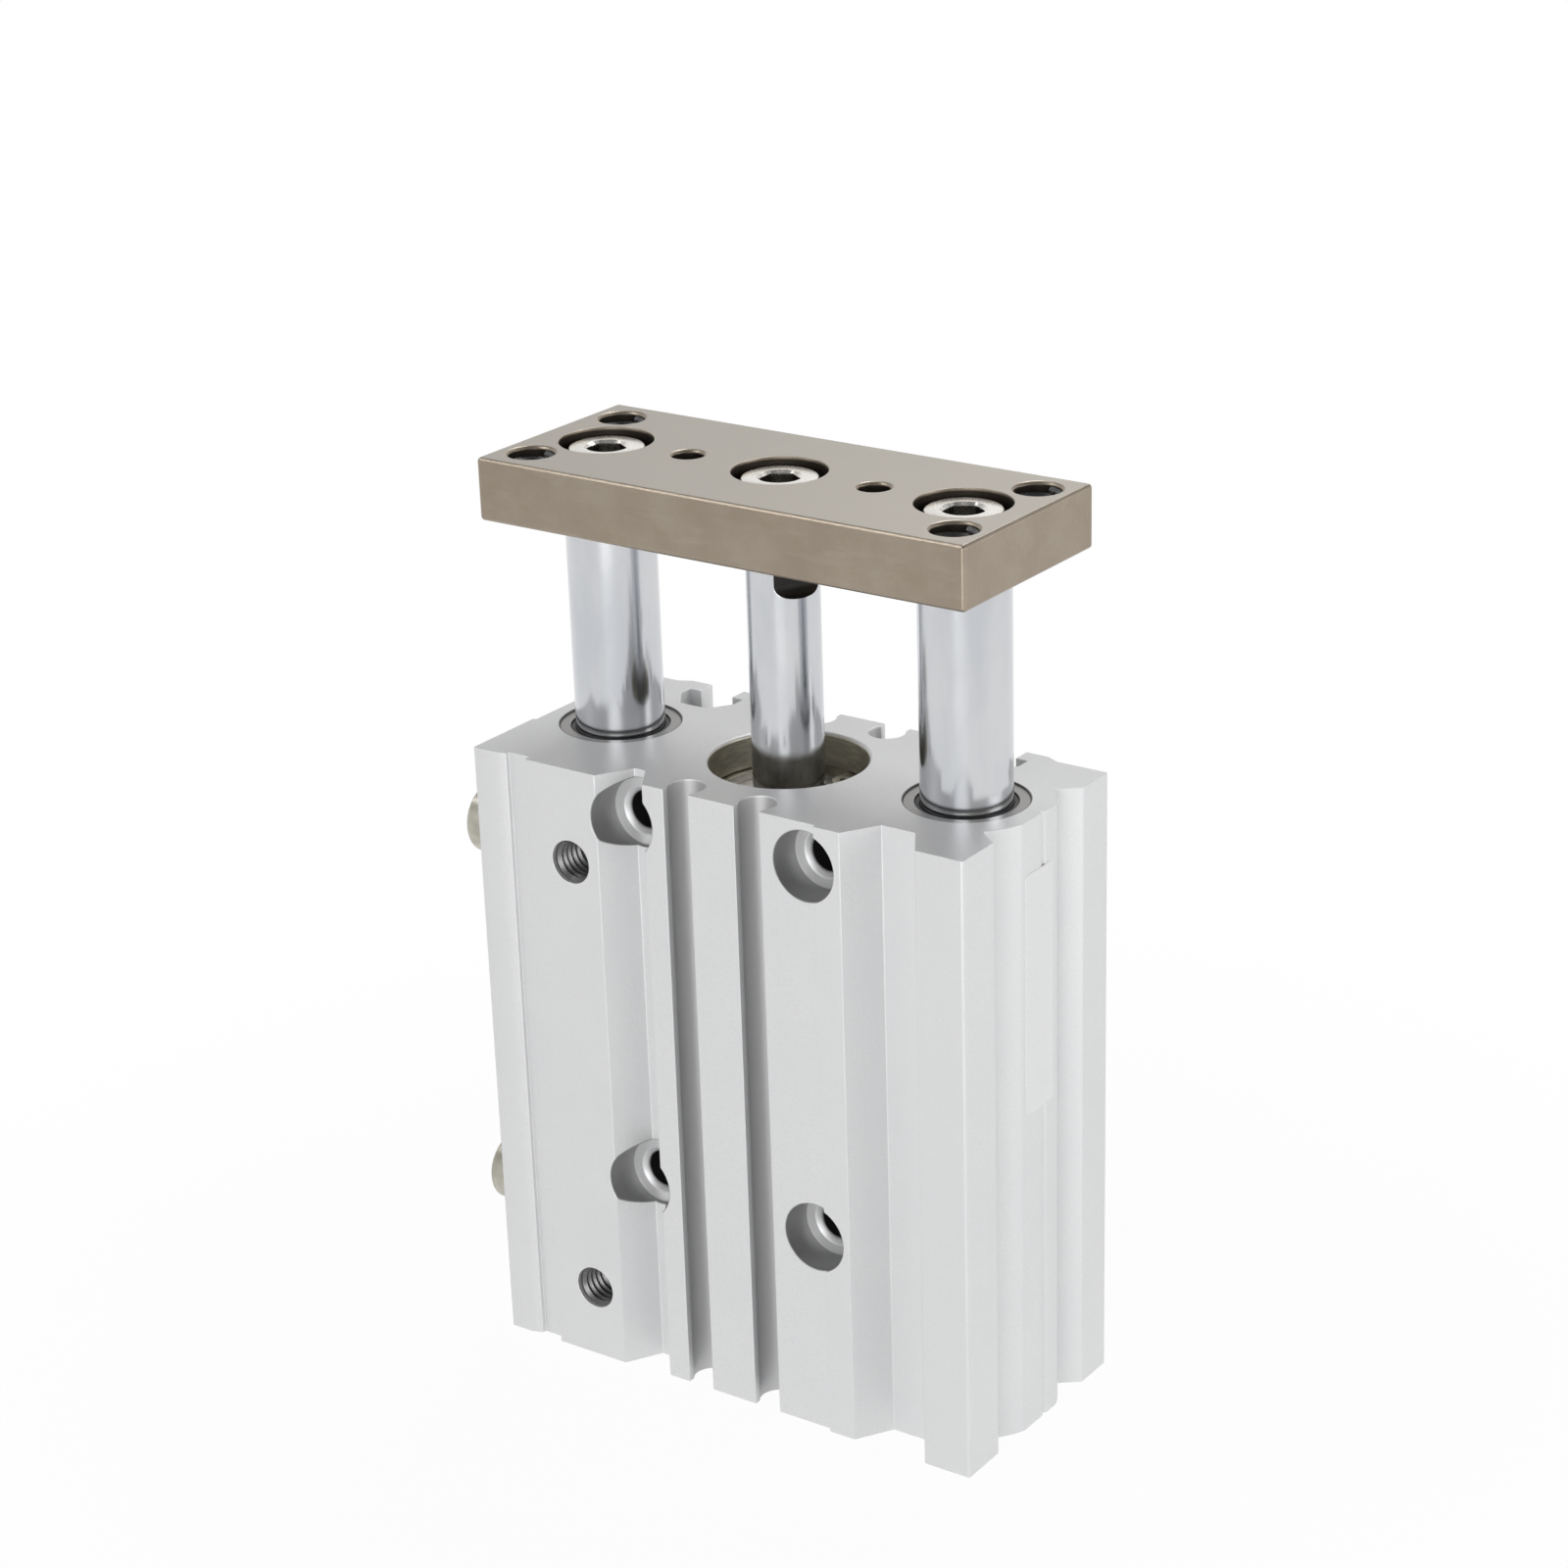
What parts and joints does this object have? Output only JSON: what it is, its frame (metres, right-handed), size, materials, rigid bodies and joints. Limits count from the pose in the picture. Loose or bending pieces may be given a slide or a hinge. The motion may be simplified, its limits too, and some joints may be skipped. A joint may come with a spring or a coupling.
{
  "type": "guided pneumatic cylinder",
  "caption": "Compact pneumatic cylinder with two guide rods and an end plate that slides without turning, in an extruded aluminium body with T-slots and switch slots.",
  "frame": {"origin": "centre of the body's flat head-end face, which is also the face it stands on", "axes": "+Z along the rods from the head end to the end plate, +X across the body's width, +Y to the back with the T-slots; the air ports are at the front, -Y"},
  "size_m": [0.0668, 0.03, 0.1055],
  "materials": {
    "anodised_body": "matte silver anodised extrusion",
    "anodised_collar": "turned, clear anodised",
    "anodised_cover": "turned, clear anodised",
    "seal_rubber": "black nitrile",
    "ring_steel": "stamped spring steel, oiled",
    "bearing_steel": "turned steel plug",
    "bush_metal": "sintered plain bush",
    "plug_brass": "nickel-plated brass",
    "gasket_nylon": "cream nylon washer",
    "nickel_plate": "satin nickel plating, faint milling grain",
    "screw_nickel": "bright nickel",
    "hard_chrome": "ground hard chrome",
    "piston_alloy": "turned",
    "magnet_black": "bonded magnet",
    "bumper_urethane": "urethane"
  },
  "bodies": {
    "housing": {"cylinder_body": "anodised_body", "channel_plug": "bearing_steel", "rod_collar": "anodised_collar", "rod_seal": "seal_rubber", "collar_gasket": "seal_rubber", "collar_retaining_ring": "ring_steel", "head_cover": "anodised_cover", "head_gasket": "seal_rubber", "head_retaining_ring": "ring_steel", "front_bush_left": "bush_metal", "front_bush_right": "bush_metal", "rear_bush_left": "bush_metal", "rear_bush_right": "bush_metal", "bush_wiper_left": "seal_rubber", "bush_wiper_right": "seal_rubber", "port_plugs": "plug_brass", "plug_gaskets": "gasket_nylon"},
    "carriage": {"end_plate": "nickel_plate", "guide_rod_bolts": "screw_nickel", "piston_rod_bolt": "screw_nickel", "piston_rod": "hard_chrome", "guide_rod_left": "hard_chrome", "guide_rod_right": "hard_chrome", "piston_head_side": "piston_alloy", "magnet_ring": "magnet_black", "piston_rod_side": "piston_alloy", "piston_seal": "seal_rubber", "front_bumper": "bumper_urethane", "rear_bumper": "bumper_urethane"}
  },
  "joints": [
    {"name": "plate_stroke", "type": "slide", "parent": "housing", "child": "carriage", "axis": [0, 0, 1], "range_m": [-0.0195, 0.0205]}
  ]
}
